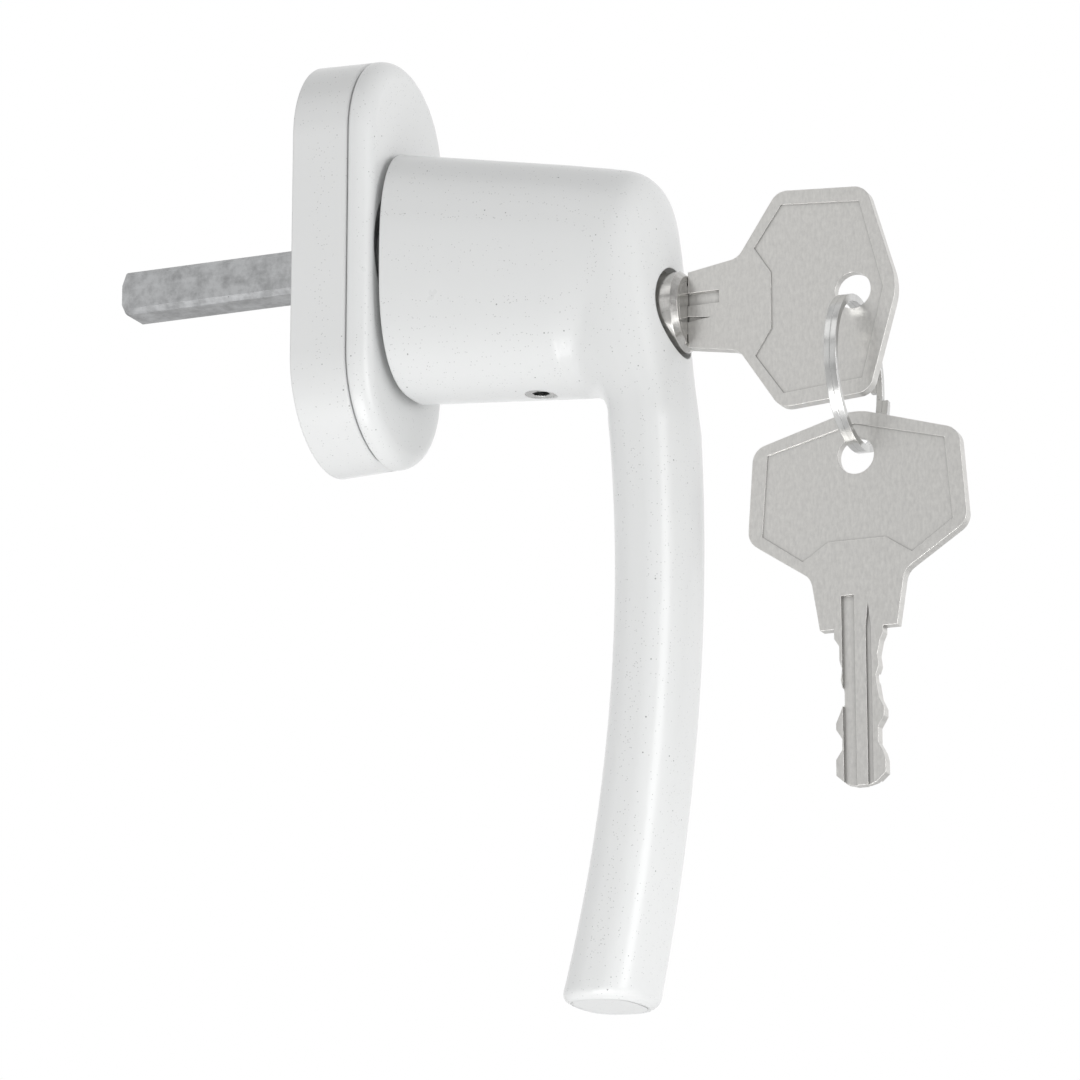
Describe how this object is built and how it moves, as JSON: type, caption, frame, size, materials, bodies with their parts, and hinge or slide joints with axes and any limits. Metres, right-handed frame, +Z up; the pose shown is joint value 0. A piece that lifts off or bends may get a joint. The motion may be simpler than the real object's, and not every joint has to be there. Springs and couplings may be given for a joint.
{
  "type": "keyed window handle lock",
  "caption": "Window handle on an oval rosette with a square spindle, a push-in cylinder lock in its neck, and two flat keys on a split ring.",
  "frame": {"origin": "centre of the rosette's back face, on the spindle's axis", "axes": "+Y into the window along the spindle, -Y to the room, +Z up; the lever hangs down in its closed position"},
  "size_m": [0.0308, 0.1384, 0.151],
  "materials": {
    "white_coat": "satin powder coat",
    "white_shell": "satin powder coat",
    "nickel": "satin nickel plate",
    "key_nickel": "satin nickel plate",
    "zinc_steel": "dull zinc plate",
    "spring_steel": "bright",
    "grey_zinc": "as cast, zinc plated",
    "bush_plastic": "matt",
    "brass": "as machined"
  },
  "bodies": {
    "rosette": {"rosette_base": "white_shell", "bearing_bush": "bush_plastic", "lock_plate": "zinc_steel", "detent_carrier": "bush_plastic", "detent_balls": "spring_steel", "detent_springs": "spring_steel"},
    "cover": {"rosette_cover": "white_coat"},
    "lever": {"handle_lever": "white_coat", "spindle": "zinc_steel", "retaining_screw": "zinc_steel", "detent_rotor": "grey_zinc", "circlip": "spring_steel", "wave_washer": "spring_steel", "backing_disc": "grey_zinc", "guide_bush": "nickel", "return_spring": "spring_steel"},
    "lock_cylinder": {"cylinder_body": "nickel", "lock_pin": "zinc_steel", "plug_clip": "spring_steel", "latch_spring": "spring_steel"},
    "latch": {"latch": "brass"},
    "plug": {"cylinder_plug": "nickel", "cam": "brass", "wafers": "brass", "wafer_springs": "spring_steel"},
    "key": {"key_1": "key_nickel"},
    "ring": {"key_ring": "spring_steel"},
    "spare_key": {"key_2": "key_nickel"}
  },
  "joints": [
    {"name": "handle_turn", "type": "hinge", "parent": "rosette", "child": "lever", "pos_m": [0, 0, 0], "axis": [0, 1, 0], "range_deg": [-180, 180]},
    {"name": "cover_turn", "type": "hinge", "parent": "rosette", "child": "cover", "pos_m": [0, 0, 0], "axis": [0, 1, 0], "range_deg": [0, 90]},
    {"name": "lock_push", "type": "slide", "parent": "lever", "child": "lock_cylinder", "axis": [0, 1, 0], "range_m": [0, 0.0035], "stiffness_N_per_m": 300, "springref_m": -0.01, "deforming": ["return_spring"]},
    {"name": "latch_throw", "type": "slide", "parent": "lock_cylinder", "child": "latch", "axis": [1, 0, 0], "range_m": [0, 0.0008]},
    {"name": "key_turn", "type": "hinge", "parent": "lock_cylinder", "child": "plug", "pos_m": [0, 0, -0.0136], "axis": [0, 1, 0], "range_deg": [0, 90]},
    {"name": "key_withdraw", "type": "slide", "parent": "plug", "child": "key", "axis": [0, -1, 0], "range_m": [0, 0.025]},
    {"name": "ring_swing", "type": "hinge", "parent": "key", "child": "ring", "pos_m": [0, -0.0854, -0.015], "axis": [1, 0, 0], "range_deg": [-60, 8]},
    {"name": "spare_key_swing", "type": "hinge", "parent": "ring", "child": "spare_key", "pos_m": [0, -0.0854, -0.0376], "axis": [1, 0, 0], "range_deg": [-40, 12]}
  ],
  "couplings": [
    {"joint": "latch_throw", "follows": "lock_push", "ratio": 0.22857}
  ]
}
